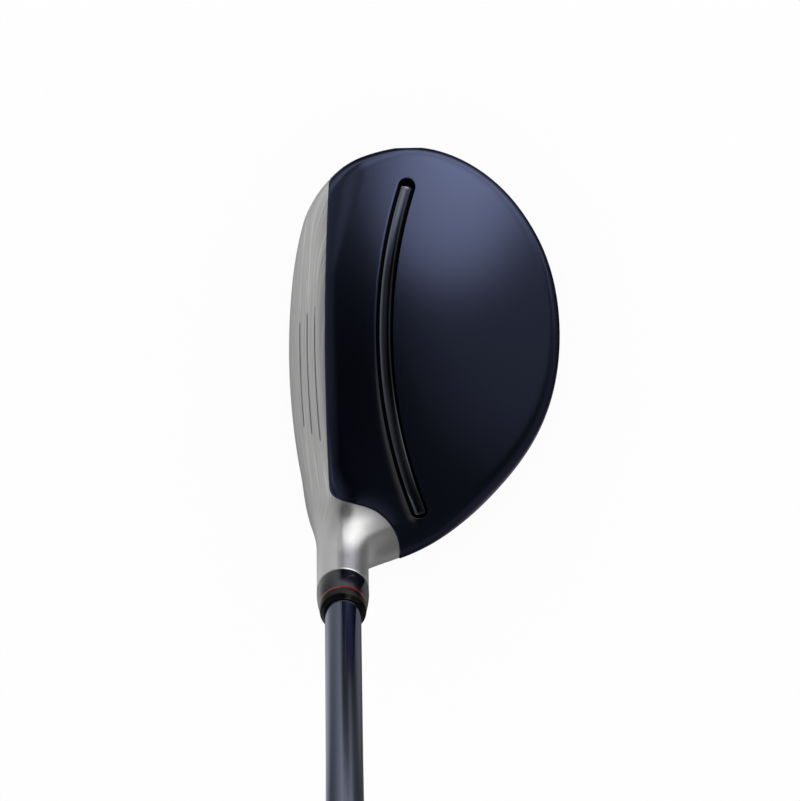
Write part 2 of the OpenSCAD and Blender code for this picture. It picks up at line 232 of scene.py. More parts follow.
beside_shaft = ahead.fade(-130.0, -60.0)
face_side = across.fade(-30.5, -27.8) * across.ramp(-138.0, -37.4).at_least(beside_shaft)
face_side = face_side * (1.0 - 0.13 * patch(-62.0, -8.0, 12.0, 55.0))
toe_side = ahead.ramp(-66.0, 249.0) * (1.0 - 0.8 * apart(across, ahead).ramp(500.0, 3000.0))
toe_side = toe_side * (0.65 + 0.35 * across.ramp(-45.0, 15.0))
toe_side = toe_side * (1.0 - 0.75 * across.ramp(20.0, 60.0) * ahead.fade(30.0, 110.0))
for share, *shaded in [(0.88, 20.0, 122.0, 24.0, 78.0), (0.6, -8.0, 84.0, 6.0, 30.0)]:
    toe_side = toe_side * (1.0 - share * patch(*shaded))
lit = 0.10 + face_side * (0.50 - 0.20 * ahead.ramp(-49.0, 34.6)) + 1.05 * toe_side
for strength, *where in [(0.18, 48.0, -42.0, 12.0, 42.0),   # behind the heel
                         (0.26, -68.0, -58.0, 12.0, 42.0),  # in front of the hosel
                         (0.60, 14.0, 60.0, 16.0, 26.0)]:   # close to the toe
    lit = lit + strength * patch(*where)
for shaded in [(2.0, 108.0, 18.0, 60.0), (52.0, 22.0, 14.0, 45.0)]:
    lit = lit * (1.0 - 0.6 * patch(*shaded))
glossy, seen = table.rays()
glow = table.node("Emission", inputs={"Color": rgb(1, 1, 1), "Strength": seen + (1.0 - seen) * lit})
matt = table.node("BsdfDiffuse", inputs={"Color": rgb(0.9, 0.9, 0.9)})
glowing = seen * 0.93 + glossy * 0.95
table.output("OutputMaterial", table.node("MixShader", inputs={0: glowing, 1: matt, 2: glow}))
half_table = 60.0  # metres
corners = [(a * half_table, b * half_table, 0) for a, b in ((-1, -1), (1, -1), (1, 1), (-1, 1))]
floor_mesh = bpy.data.meshes.new("floor")
floor_mesh.from_pydata(corners, [], [(0, 1, 2, 3)])
floor_mesh.materials.append(table.owner)
floor = added("floor", floor_mesh)

# ---- Cast body ----
# One investment casting of stainless steel: sole, skirt, heel and hosel. It is
# bead blasted, and polished and brushed with the face after the plate is welded in.

# Sizes are in millimetres and radians, and the skin is the one that the solids are cut from.
MM = 0.001
lie = np.radians(59.0)
loft = np.radians(18.5)
face_closed = np.radians(1.2)
shaft_x, shaft_y = -8.9, -28.0
hosel_r, hosel_top = 6.75, 53.9
toe_arc_c, toe_arc_r = (20.6, -4.2), 65.6
heel_arc_c, heel_arc_r = (-120.5, 122.15), 216.25
rear_turn, rear_edge = np.radians(16.2), 53.9
outline_blend, rim_z, barrel, body_wall = 29.8, 16.0, 0.012, 1.6
crown_mid, crown_top, crown_r_depth, crown_r_width = (-8.0, -5.0), 35.5, 125.0, 155.0
sole_r_depth, sole_r_width, rest_flat = 165.0, 150.0, 0.15
face_x, face_z, face_mid, face_bulge, face_roll = -24.0, 3.0, 16.0, 250.0, 320.0
crown_round, sole_round, heel_round, heel_reach = 3.0, 10.0, 20.0, 16.0
neck_round, neck_round_top, neck_low = 6.0, 14.0, 10.0
topline_round, corner_round, corner_in, corner_out, face_top_z = 3.5, 10.5, 24.0, 50.0, 34.0


def soft_max(a, b, k):
    """Larger of two fields, rounded where they are within k of each other."""
    h = np.maximum(k - np.abs(a - b), 0.0) / k
    return np.maximum(a, b) + h * h * k / 4


def smooth(t):
    return t * t * (3 - 2 * t)


def on_face(p):
    """Place of a point up the face, towards the toe, and out of the face's flat."""
    side = p[..., 1] * np.cos(face_closed) - p[..., 0] * np.sin(face_closed)
    back = p[..., 0] * np.cos(face_closed) + p[..., 1] * np.sin(face_closed) - face_x
    up = back * np.sin(loft) + (p[..., 2] - face_z) * np.cos(loft) - face_mid
    return up, side, (p[..., 2] - face_z) * np.sin(loft) - back * np.cos(loft)


def along(p):
    """Place along the shaft line, from the ground."""
    return (shaft_y - p[..., 1]) * np.cos(lie) + p[..., 2] * np.sin(lie)


def skin(p):
    """Distance outside the head, in millimetres; it is negative inside."""
    x, y, z = p[..., 0], p[..., 1], p[..., 2]
    toe = np.hypot(x - toe_arc_c[0], y - toe_arc_c[1]) - toe_arc_r
    rear = x * np.cos(rear_turn) + y * np.sin(rear_turn) - rear_edge
    heel = np.hypot(x - heel_arc_c[0], y - heel_arc_c[1]) - heel_arc_r
    wall = soft_max(soft_max(toe, rear, outline_blend), heel, outline_blend) + barrel * (z - rim_z) ** 2
    dx, dy = (x - crown_mid[0]) / crown_r_depth, (y - crown_mid[1]) / crown_r_width
    crown = z - crown_top + dx * dx * crown_r_depth / 2 + dy * dy * crown_r_width / 2
    crown = crown / np.sqrt(1 + dx * dx + dy * dy)
    dx, dy = x / sole_r_depth, y / sole_r_width
    sole = dx * dx * sole_r_depth / 2 + dy * dy * sole_r_width / 2 - rest_flat - z
    sole = sole / np.sqrt(1 + dx * dx + dy * dy)
    heelward = (shaft_y - y) * np.sin(lie) - z * np.cos(lie)
    form = soft_max(soft_max(wall, crown, crown_round), sole, sole_round)
    form = soft_max(form, heelward - heel_reach, heel_round)
    up, side, out = on_face(p)
    face = out + side * side / (2 * face_bulge) + up * up / (2 * face_roll)
    to_side = (np.abs(side - 2) - corner_in) / (corner_out - corner_in)
    corner = np.clip(np.maximum(to_side, 1 - z / face_top_z), 0, 1)
    form = soft_max(form, face, topline_round + (corner_round - topline_round) * corner)
    s = along(p)
    neck = np.maximum(np.hypot(x - shaft_x, heelward) - hosel_r, s - hosel_top - 2)
    neck = np.maximum(neck, neck_low - s)
    opened = np.clip(-heelward / hosel_r, 0.0, 1.0)
    behind = np.clip((x - shaft_x + 5.1) / 5, 0.0, 1.0)
    fillet = neck_round + (neck_round_top - neck_round) * smooth(opened) * behind
    return -soft_max(-form, -neck, fillet)


def slope(field, p, step=2e-3):
    """Gradient of a field."""
    ways = np.eye(3) * step
    return np.stack([(field(p + w) - field(p - w)) / (2 * step) for w in ways], -1)


def unit(v):
    return v / np.linalg.norm(v, axis=-1, keepdims=True)


def reach(start, way, far=75.0):
    """Where rays from inside the head come out through its skin."""
    low, high = np.zeros(start.shape[:-1]), np.full(start.shape[:-1], far)
    for _ in range(24):
        mid = (low + high) / 2
        outside = skin(start + way * mid[..., None]) > 0
        low, high = np.where(outside, low, mid), np.where(outside, mid, high)
    return start + way * low[..., None]


def eased(a, b, n):
    return a + (b - a) * (0.5 - 0.5 * np.cos(np.pi * np.arange(n) / n))


def quads(at, step):
    """Faces between rows of points, given their numbers and those of their next ones."""
    return [tuple(f) for f in np.stack([at[:-1], step[:-1], step[1:], at[1:]], -1).reshape(-1, 4)]


def head_grid():
    """Points and faces of the skin: upright sections, a fan round the heel, sections up the neck."""
    turn_y, turn_z, mid_x, mid_z, tip_x, toe_zone = -28.0, 50.0, 8.0, 16.0, 9.5, 20.0
    tip = reach(np.array([tip_x, 0.0, mid_z + 1]), np.array([0.0, 1.0, 0.0]))
    turn = np.array([shaft_x, turn_y, turn_z])
    turn_s = along(turn)
    to_shaft = (turn_y - shaft_y) * np.sin(lie) + turn_z * np.cos(lie)
    centres, tilts = [], []
    near_toe = tip[1] - toe_zone * (1 - np.cos(np.pi / 2 * (np.arange(28) + 0.5) / 28))
    for y in np.concatenate([near_toe, np.linspace(tip[1] - toe_zone, turn_y, 105)[1:]]):
        t = max(0.0, (y - turn_y) / (tip[1] - turn_y))
        centres.append((mid_x + (tip_x - mid_x) * t, y, mid_z + t))
        tilts.append(0.0)
    for t in np.arange(1, 61) / 60:
        q = smooth(t)
        h = (turn_z - mid_z) + (to_shaft - (turn_z - mid_z)) * q
        centres.append((mid_x + (shaft_x - mid_x) * q,
                        turn_y - h * np.sin(lie * t), turn_z - h * np.cos(lie * t)))
        tilts.append(lie * t)
    for s in turn_s + (hosel_top - turn_s) * np.arange(1, 13) / 12:
        centres.append((shaft_x, shaft_y - s * np.cos(lie), s * np.sin(lie)))
        tilts.append(lie)
    centres, tilts = np.array(centres), np.array(tilts)
    # each ring runs over the crown, down the face and back under the sole, densest between them
    bend = np.minimum(np.abs(centres[:, 1]), 45) ** 2 / 45 ** 2
    angles = [np.concatenate([eased(0, 138 + 15 * b, 70), eased(138 + 15 * b, 203 - 14 * b, 46),
                              eased(203 - 14 * b, 360, 64)]) for b in bend]
    angles = np.radians(np.array(angles))
    ways = np.stack([np.cos(angles), np.sin(angles) * np.sin(tilts)[:, None],
                     np.sin(angles) * np.cos(tilts)[:, None]], -1)
    rings = reach(np.broadcast_to(centres[:, None], ways.shape), ways)
    rows, n = angles.shape
    points = np.concatenate([tip[None], rings.reshape(-1, 3)])
    at = 1 + np.arange(rows * n).reshape(rows, n)
    step = np.roll(at, -1, axis=1)
    return points, quads(at, step) + [(0, b, a) for a, b in zip(at[0], step[0])]


def split(points, faces, field):
    """Cuts the faces along the line on the skin where a field is zero.
    Returns the points, the faces where the field is negative, and the others."""
    values = field(points)
    values[np.abs(values) < 2e-3] = 0.0
    cuts, fresh, below, above = {}, [], [], []
    for face in faces:
        v = values[list(face)]
        if v.max() <= 0 or v.min() >= 0:
            (below if v.sum() < 0 else above).append(face)
            continue
        sides = ([], [])
        for a, b, va, vb in zip(face, face[1:] + face[:1], v, np.roll(v, -1)):
            if va <= 0:
                sides[0].append(a)
            if va >= 0:
                sides[1].append(a)
            if va * vb < 0:
                key = (min(a, b), max(a, b))
                if key not in cuts:
                    cuts[key] = len(points) + len(fresh)
                    fresh.append(points[a] + (points[b] - points[a]) * (va / (va - vb)))
                sides[0].append(cuts[key])
                sides[1].append(cuts[key])
        below.append(tuple(sides[0]))
        above.append(tuple(sides[1]))
    if fresh:
        fresh = np.array(fresh)
        for _ in range(3):
            way = slope(skin, fresh)
            fresh = fresh - way * (skin(fresh) / (way * way).sum(-1))[:, None]
        points = np.concatenate([points, fresh])
    return points, below, above


def round_edge(distance, radius):
    """Depth of a rounded edge at a distance from it."""
    inside = np.clip(radius - distance, 0, radius)
    return radius - np.sqrt(radius * radius - inside * inside)


def shell(name, points, faces, sink, wall, finish):
    """Closed sheet: the given faces of the skin, sunk by sink, and an inner side deeper by wall."""
    used = np.unique(np.concatenate([np.array(f) for f in faces]))
    number = np.full(len(points), -1)
    number[used] = np.arange(len(used))
    base = points[used]
    normal = unit(slope(skin, base))
    dip = slope(sink, base)
    dip -= normal * (dip * normal).sum(-1, keepdims=True)
    facing = unit(normal + dip)
    outer = base - normal * sink(base)[:, None]
    inner = outer - normal * wall
    grounded = outer[:, 2] < 0
    outer[grounded, 2] = 0
    inner[:, 2] = np.maximum(inner[:, 2], wall * 0.6)
    faces = [tuple(number[list(f)]) for f in faces]
    n = len(used)
    edges = {}
    for f in faces:
        for a, b in zip(f, f[1:] + f[:1]):
            edges[(a, b)] = edges.get((a, b), 0) + 1
    rim = [(b, a, a + n, b + n) for a, b in edges if (b, a) not in edges]
    inside = [tuple(i + n for i in reversed(f)) for f in faces]
    mesh = bpy.data.meshes.new(name)
    mesh.from_pydata(np.concatenate([outer, inner]) * MM, [], faces + inside + rim)
    mesh.polygons.foreach_set("use_smooth", [True] * len(mesh.polygons))
    flat = np.zeros((len(mesh.polygons), 3), np.float32)
    mesh.polygons.foreach_get("normal", flat.ravel())
    corner = np.zeros(len(mesh.loops), int)
    mesh.loops.foreach_get("vertex_index", corner)
    totals = np.array([len(p.vertices) for p in mesh.polygons])
    owner = np.repeat(np.arange(len(totals)), totals)
    loops = flat[owner].astype(float)
    first = len(faces)
    loops[owner < first] = facing[corner[owner < first]]
    middle = (owner >= first) & (owner < 2 * first)
    loops[middle] = -facing[corner[middle] - n]
    mesh.normals_split_custom_set(loops.tolist())
    mesh.materials.append(finish)
    return added(name, mesh)


def hull_distance(u, v, discs):
    """Distance outside the tight band around discs, each (u, v, radius)."""
    turns = np.radians(np.arange(0, 360, 2))
    best = np.full(np.shape(u), -1e9)
    for c, s in zip(np.cos(turns), np.sin(turns)):
        best = np.maximum(best, u * c + v * s - max(a * c + b * s + r for a, b, r in discs))
    return best


def collar(p):
    """Distance outside the steel collar around the hosel, seen from above."""
    discs = [(-6.6, -46.4, 12.6), (-13.5, -37.6, 6.0), (shaft_x, -76.0, 7.75)]
    return hull_distance(p[..., 0], p[..., 1], discs)


def crown_seam(p):
    """Distance in front of the crown plate's edge along the topline and the collar."""
    topline = -12.4 + (p[..., 1] + 5) ** 2 / 1540
    return soft_max(topline - p[..., 0], -collar(p), 2.6)


def rim_seam(p):
    """Distance below the crown plate's lower edge."""
    return 13.5 - p[..., 2]


def plate_seam(p):
    """Distance outside the welded face plate."""
    up, side, out = on_face(p)
    discs = [(-9, -22, 4), (9.3, -22, 4), (9.3, 10, 4), (0.5, 36, 5), (-4.5, 33, 5)]
    return np.where(out > -6, hull_distance(up, side, discs), 10.0)


weight_x, weight_y, port_r = 27.0, 3.0, 6.1


def port(p):
    """Distance outside the weight's port in the sole."""
    from_port = np.hypot(p[..., 0] - weight_x, p[..., 1] - weight_y) - port_r
    return np.where(p[..., 2] < 12, from_port, 10.0)


def hosel_end(p):
    """Distance below the hosel's end."""
    return hosel_top - along(p)


skin_points, skin_faces = head_grid()
skin_points, crown_faces, body_faces = split(skin_points, skin_faces, crown_seam)
skin_points, crown_faces, rest = split(skin_points, crown_faces, rim_seam)
body_faces += rest
skin_points, _, body_faces = split(skin_points, body_faces, plate_seam)
skin_points, _, body_faces = split(skin_points, body_faces, port)
body_points = skin_points
for field, value in ((crown_seam, 0.15), (crown_seam, 0.4), (port, 0.2), (port, 0.45),
                     (hosel_end, 0.15), (hosel_end, 0.45)):
    body_points, near, body_faces = split(body_points, body_faces, lambda p: field(p) - value)
    body_faces += near


def body_sink(p):
    """The collar lies a little under the crown's edge; port and hosel end have broken edges."""
    from_crown = np.clip(np.where(p[..., 2] > 12, crown_seam(p), 9.0) / 5, 0, 1)
    on_collar = np.clip(-collar(p) + 2, 0, 2) / 2
    low = 0.24 * on_collar * (1 - smooth(from_crown))
    top = np.clip(along(p) - hosel_top + 0.35, 0, 0.35) * 0.9
    return low + round_edge(port(p), 0.45) + top


# Steel: brushed along the face, bead blasted on the rest, with painted highlight and painted shade as streaks
# up the neck, and a spot of painted shade where the collar meets the crown's front corner
steel = Finish(bpy.data.materials.new("satin_steel"))
x, y, z = steel.place()
before_face = (z - face_z) * np.sin(loft) - (x - face_x) * np.cos(loft) + y * y * (0.5 / face_bulge)
up_face = ((x - face_x) * np.sin(loft) + (z - face_z) * np.cos(loft) - face_mid
           + y * (np.sin(face_closed) * np.sin(loft)))
brushed = before_face.ramp(-3.0, -0.8) * y.ramp(-42.0, -34.0)  # on the face, not on the neck
lines = steel.grain(z * 7.0 + x * 2.0, y * 0.06, 0.0, 3.0, 0.6)
broad = steel.grain(z * 1.6 + x * 0.5, y * 0.03, 4.0, 2.0, 0.5)
blast = steel.speckle(5.0)
# painted glints: light streaks in line with the score lines, beyond their ends
painted_glint = 0.0
for line_up, length in [(0.0, 28.5), (6.0, 33.0), (12.0, 42.0)]:
    beyond = abs(y).ramp(length / 2 + 1.0, length / 2 + 6.0)
    painted_glint = abs(up_face - line_up).fade(0.15, 0.55) * beyond + painted_glint
painted_glint = painted_glint * (0.35 + 0.9 * lines) * before_face.ramp(-2.0, -0.6)
painted_glint = painted_glint * y.fade(38.0, 50.0) * y.ramp(-32.0, -27.0)
tone = ((lines - 0.5) * 2.4 + (broad - 0.5) * 1.2 - 0.27) * brushed + (blast - 0.5) * 0.06 * (1.0 - brushed)
# painted light: besides the glints, the brushed face is made paler towards the toe
tone = tone + 0.5 * painted_glint + 0.20 * y.ramp(8.0, 50.0) * brushed
neck = y.fade(-44.5, -40.0)
# painted highlight and painted shade: a light streak up the neck between two dark ones
for strength, radii, spread in [(0.45, 0.30, 0.07), (-0.40, -0.07, 0.025), (-0.40, 0.84, 0.06)]:
    off = (x - shaft_x) * (1 / hosel_r) - radii
    tone = tone + strength * neck * (off * off).fade(0.0, spread)
# painted shade: a dark spot and a wider haze in the steel's colour where the collar meets the crown's front
# corner
painted_shade_spot = apart(x + 8.0, (y + 35.2) * 0.4 ** 0.5).fade(0.3, 2.9)
painted_shade_haze = apart((x + 4.6) * 0.35 ** 0.5, y + 35.6).fade(0.4, 3.3)
painted_shade = (0.82 * painted_shade_spot + 0.45 * painted_shade_haze * (1.0 - brushed)) * z.ramp(20.0, 24.0)
# painted shade along the toe end of the third score line, whose groove the welded plate's edge cuts short
line_end = abs(up_face - 12.0).fade(0.12, 0.42) * y.ramp(14.4, 15.0) * y.fade(17.8, 18.6)
painted_shade = (painted_shade + 0.75 * line_end * before_face.ramp(-3.0, -1.5)).at_most(0.85)
bright = steel.colour((0.5 + tone).at_least(0.0).at_most(1.0), rgb(0.54, 0.54, 0.535), rgb(0.92, 0.92, 0.915))
steel.surface({
    "Base Color": steel.colour(painted_shade, bright, rgb(0.16, 0.16, 0.16)), "Metallic": 0.9,
    "Roughness": 0.41 - 0.02 * neck + 0.01 * brushed + (lines - 0.5) * 0.10 * brushed + (blast - 0.5) * 0.05,
    "Normal": steel.bump(lines * brushed + blast * (1.0 - brushed), 0.25, 0.00003)})

body = shell("cast_body", body_points, body_faces, body_sink, body_wall, steel.owner)
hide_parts("head_body")
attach(body, "root")

# ---- Face plate ----
# A thin striking plate of high-strength steel, welded into the body's opening and
# brushed flush with it. Three milled score lines cross its middle.

score_w, score_d, plate_wall = 0.85, 0.4, 2.2
# height up the face, length and middle of each score line
score_lines = [(0.0, 27.6, 0.8), (6.0, 31.8, 1.0), (12.0, 35.2, 0.8)]


def score_sink(p):
    """Depth of the score lines: flat floors with slanted sides and run-out ends."""
    up, side, _ = on_face(p)
    depth = np.zeros(np.shape(up))
    for line_up, length, middle in score_lines:
        across = np.clip((score_w / 2 - np.abs(up - line_up)) / 0.2, 0, 1)
        ends = np.clip((length / 2 - np.abs(side - middle)) / 0.6, 0, 1)
        depth = np.maximum(depth, score_d * across * ends)
    return depth


rows = [np.arange(-14.0, 15.01, 0.7)]
across_line = np.array([-0.46, -0.425, -0.33, -0.225, -0.2, 0.0, 0.2, 0.225, 0.33, 0.425, 0.46])
for line_up, _, _ in score_lines:
    rows[0] = rows[0][np.abs(rows[0] - line_up) > 0.55]
    rows.append(line_up + across_line)
rows = np.sort(np.concatenate(rows))
columns = np.arange(-27.0, 43.01, 0.6)
up, side = np.meshgrid(rows, columns, indexing="ij")
middle = np.array([face_mid * np.sin(loft), 0.0, face_z + face_mid * np.cos(loft)])
up_way = np.array([np.sin(loft), 0.0, np.cos(loft)])
out_way = np.array([-np.cos(loft), 0.0, np.sin(loft)])
side_way = np.array([0.0, 1.0, 0.0])
turn = np.array([[np.cos(face_closed), -np.sin(face_closed), 0],
                 [np.sin(face_closed), np.cos(face_closed), 0], [0, 0, 1]])
inside = middle + up[..., None] * up_way + side[..., None] * side_way - 12.0 * out_way
inside = inside @ turn.T + np.array([face_x, 0, 0])
plate_grid = reach(inside, np.broadcast_to(turn @ out_way, inside.shape), 25.0)
at = np.arange(up.size).reshape(up.shape)
plate_faces = np.stack([at[:-1, :-1], at[1:, :-1], at[1:, 1:], at[:-1, 1:]], -1).reshape(-1, 4)
plate_faces = [tuple(f) for f in plate_faces]
plate_points, plate_faces, _ = split(plate_grid.reshape(-1, 3), plate_faces, plate_seam)
plate = shell("face_plate_steel", plate_points, plate_faces, score_sink, plate_wall, steel.owner)
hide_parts("face_plate")
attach(plate, "root")

# ---- Crown plate ----
# A thin steel crown, bonded on above the rim and sprayed satin dark navy with fine
# metal flake. The trench of the slot is pressed into it, with soft rolled lips.

slot_r, slot_c = 126.0, (3.35 + 126.0, 8.5)
slot_toe_end, slot_heel_end = np.radians(18.78), np.radians(-20.55)
slot_half, trench, crown_wall = 2.2, 2.6, 0.9
lip_toe, lip_heel, lip_rear, lip_slope, lip_edge = 0.5, 2.0, 0.4, 0.42, 0.15


def slot_spot(angle):
    return slot_c[0] - slot_r * np.cos(angle), slot_c[1] + slot_r * np.sin(angle)


def slot_line(p):
    """Distance from the slot's middle line, seen from above."""
    dx, dy = p[..., 0] - slot_c[0], p[..., 1] - slot_c[1]
    angle = np.clip(np.arctan2(dy, -dx), slot_heel_end, slot_toe_end)
    ex, ey = slot_spot(angle)
    return np.where(p[..., 2] > 18, np.hypot(p[..., 0] - ex, p[..., 1] - ey), 50.0)


def faceward(p):
    """1 on the slot's side next to the face, 0 on its rear side."""
    side = np.hypot(p[..., 0] - slot_c[0], p[..., 1] - slot_c[1]) - slot_r
    return np.clip(0.5 + side / (2 * slot_half), 0, 1)


def crown_sink(p):
    """Rounded paint edge at the seams, and the trench with its lips."""
    d = slot_line(p) - slot_half
    toward_heel = np.clip((8.0 - p[..., 1]) / 36.0, 0, 1)
    lip = lip_rear + (lip_toe + (lip_heel - lip_toe) * toward_heel - lip_rear) * faceward(p)
    drop = lip_slope * lip / 2 * faceward(p)
    lips = drop * np.clip(1 - d / lip, 0, 1) ** 2 + round_edge(d, lip_edge) * (d < lip_edge)
    walls = (trench - drop - lip_edge) * np.clip(-d / 0.12, 0, 1)
    edge = round_edge(-np.maximum(crown_seam(p), rim_seam(p)), 0.4)
    return edge + np.where(d > 0, lips, drop + lip_edge) + walls


crown_points = skin_points
for field, values in ((crown_seam, (-0.03, -0.12, -0.25, -0.42)), (rim_seam, (-0.1, -0.42)),
                      (slot_line, (2.05, 2.08, 2.2, 2.22, 2.27, 2.35, 2.6, 2.9, 3.3, 3.8))):
    for value in values:
        crown_points, near, crown_faces = split(crown_points, crown_faces, lambda p: field(p) - value)
        crown_faces += near

paint = Finish(bpy.data.materials.new("navy_paint"))
x, y, z = paint.place()
flake = paint.speckle(9.0, 1.0)
cloud = paint.speckle(0.05)
edge_on = paint.node("LayerWeight", inputs={"Blend": 0.35}, outlet="Facing")
navy = paint.colour((flake - 0.5) * 0.5 + 0.5, rgb(0.052, 0.062, 0.112), rgb(0.068, 0.080, 0.138))
navy = paint.colour(edge_on ** 3.0, navy, rgb(0.10, 0.085, 0.11))
# painted highlight: the paint is made pale along the heel half of the slot's front lip
from_slot = apart(x - slot_c[0], y - slot_c[1]) - slot_r - slot_half
painted_lip_highlight = from_slot.fade(0.0, 2.6) * from_slot.ramp(-0.5, 0.0)
painted_lip_highlight = painted_lip_highlight * y.fade(-30.0, 14.0) * y.ramp(-42.0, -34.0)
paint.surface({
    "Base Color": paint.colour(painted_lip_highlight, navy, rgb(0.170, 0.165, 0.170)),
    "Metallic": 1.0, "Specular Tint": rgb(0.42, 0.38, 0.40),
    "Roughness": 0.21 + (flake - 0.5) * 0.03 + (cloud - 0.5) * 0.02,
    "Normal": paint.bump(flake, 0.08, 0.00002)})
crown = shell("crown_shell", crown_points, crown_faces, crown_sink, crown_wall, paint.owner)


def grained(name, fineness, detail, low, high, rough, relief, more=()):
    """Finish with one even grain, which moves the colour from low to high, the roughness
    by rough (least, spread), and the surface by relief (strength, depth)."""
    stuff = Finish(bpy.data.materials.new(name))
    fine = stuff.speckle(fineness, detail, 0.6)
    return stuff.surface({
        "Base Color": stuff.colour(fine, rgb(*low), rgb(*high)), "Roughness": rough[0] + rough[1] * fine,
        "Normal": stuff.bump(fine, *relief), **dict(more)})


trench_black = grained("trench_black", 5.0, 2.0, (0.0015, 0.0015, 0.002), (0.003, 0.003, 0.004),
                       (0.5, 0.2), (0.1, 0.00003), {"Specular IOR Level": 0.15})
crown.data.materials.append(trench_black)
for number, face in enumerate(crown_faces):
    if slot_line(crown_points[list(face)].mean(0)) < slot_half:
        crown.data.polygons[number].material_index = 1
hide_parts("crown_plate")
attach(crown, "root")

# ---- Slot bead ----
# A moulded strip of glossy black polymer, glued into the trench. Its top is arched and
# leans towards the face, and both of its ends are rounded down to the floor.


class Tree:
    """Geometry Nodes tree that is built in order, with named inputs."""

    def __init__(self, name, **inputs):
        self.tree = bpy.data.node_groups.new(name, "GeometryNodeTree")
        kinds = {float: "NodeSocketFloat", int: "NodeSocketInt", tuple: "NodeSocketVector"}
        self.tree.interface.new_socket(name="Shape", in_out="INPUT", socket_type="NodeSocketGeometry")
        self.values = inputs
        for key, value in inputs.items():
            kind = kinds.get(type(value))
            if kind is None:
                kind = "NodeSocketMaterial" if isinstance(value, bpy.types.Material) else "NodeSocketObject"
            self.tree.interface.new_socket(name=key, in_out="INPUT", socket_type=kind)
        self.tree.interface.new_socket(name="Shape", in_out="OUTPUT", socket_type="NodeSocketGeometry")
        self.given = self.tree.nodes.new("NodeGroupInput").outputs

    def node(self, kind, settings=(), inputs=(), outlet=0, family="GeometryNode"):
        node = self.tree.nodes.new(family + kind)
        for key, value in dict(settings).items():
            setattr(node, key, value)
        for key, value in dict(inputs).items():
            if isinstance(value, bpy.types.NodeSocket):
                self.tree.links.new(value, node.inputs[key])
            else:
                node.inputs[key].default_value = value
        return node.outputs[outlet]

    def finish(self, shape, material):
        """Ends the tree in plain geometry with its material."""
        shape = self.node("RealizeInstances", inputs={0: shape})
        shape = self.node("SetShadeSmooth", inputs={0: shape, 2: True})
        shape = self.node("SetMaterial", inputs={0: shape, 2: material})
        self.tree.links.new(shape, self.tree.nodes.new("NodeGroupOutput").inputs[0])


def line_object(name, points, closed=False):
    """Object that holds one line of points, in metres, for a tree to work on."""
    n = len(points)
    links = [(i, (i + 1) % n) for i in range(n if closed else n - 1)]
    mesh = bpy.data.meshes.new(name)
    mesh.from_pydata([tuple(p) for p in points], links, [])
    return added(name, mesh)


def cleaned(mesh, merge, sharp, fill=False):
    """Merges points that are close, closes holes if asked, and turns all faces outward;
    edges that turn by less than sharp are shaded smooth."""
    shape = bmesh.new()
    shape.from_mesh(mesh)
    bmesh.ops.remove_doubles(shape, verts=shape.verts, dist=merge)
    if fill:
        bmesh.ops.holes_fill(shape, edges=shape.edges)
    bmesh.ops.recalc_face_normals(shape, faces=shape.faces)
    for edge in shape.edges:
        edge.smooth = edge.calc_face_angle(0.0) < sharp
    shape.to_mesh(mesh)
    shape.free()
    mesh.polygons.foreach_set("use_smooth", [True] * len(mesh.polygons))


def grow(piece, tree, sharp=0.6):
    """Runs a tree on an object and keeps the result as its plain mesh, with crisp sharp edges."""
    run = piece.modifiers.new("grow", "NODES")
    run.node_group = tree.tree
    for socket in tree.tree.interface.items_tree:
        if socket.in_out == "INPUT" and socket.name in tree.values:
            run[socket.identifier] = tree.values[socket.name]
    evaluated = piece.evaluated_get(bpy.context.evaluated_depsgraph_get())
    mesh = bpy.data.meshes.new_from_object(evaluated)
    piece.modifiers.remove(run)
    old, piece.data = piece.data, mesh
    bpy.data.meshes.remove(old)
    cleaned(mesh, merge=1e-7, sharp=sharp)
    return piece


bead_half, bead_front, bead_proud, bead_corner = 1.5, -1.28, 0.25, 0.35
bead_heel_end = slot_heel_end - 0.0105
bead_top = trench + bead_proud
plan_x, plan_y = slot_spot(np.linspace(bead_heel_end, slot_toe_end, 160))
under = np.stack([plan_x, plan_y, np.full(160, 18.0)], -1)
bead_line = reach(under, np.broadcast_to([0.0, 0.0, 1.0], under.shape)) - [0.0, 0.0, trench]
step = np.linalg.norm(np.diff(bead_line, axis=0), axis=1).cumsum()
place = np.concatenate([[0], step])
tip_turn = np.linspace(0.02, 1, 9) * np.pi / 2
stops = bead_half * (1 - np.cos(tip_turn))
between = np.linspace(bead_half, place[-1] - bead_half, 150)[1:-1]
stops = np.concatenate([stops, between, place[-1] - stops[::-1]])
bead_line = np.stack([np.interp(stops, place, bead_line[:, i]) for i in range(3)], -1)
from_end = np.minimum(stops, place[-1] - stops)
swell = np.sqrt(1 - np.clip(1 - from_end / bead_half, 0, 1) ** 2)

# Its top leans towards the face at the front edge, and falls a little towards the rear one.
front_lean, rear_lean, rear_steep = np.radians(-34), np.radians(7), np.radians(80)
top_x = np.linspace(bead_front, bead_half - bead_corner, 22)
lean = front_lean + (rear_lean - front_lean) * (top_x - bead_front) / (bead_half - bead_corner - bead_front)
corner = rear_lean + (rear_steep - rear_lean) * np.linspace(0, 1, 7)[1:]
bend_r = bead_corner / (np.sin(rear_steep) - np.sin(rear_lean))
top_x = np.concatenate([top_x, top_x[-1] + bend_r * (np.sin(corner) - np.sin(rear_lean))])
lean = np.concatenate([lean, corner])
fall = np.concatenate([[0], np.cumsum(np.tan((lean[1:] + lean[:-1]) / 2) * np.diff(top_x))])
top_y = bead_top - (fall - fall.min())
profile = np.concatenate([[[bead_front, 0.0]], np.stack([top_x, top_y], -1), [[bead_half, 0.0]]])
bead_section = line_object("bead_section", [(x * MM, -y * MM, 0.0) for x, y in profile], closed=True)
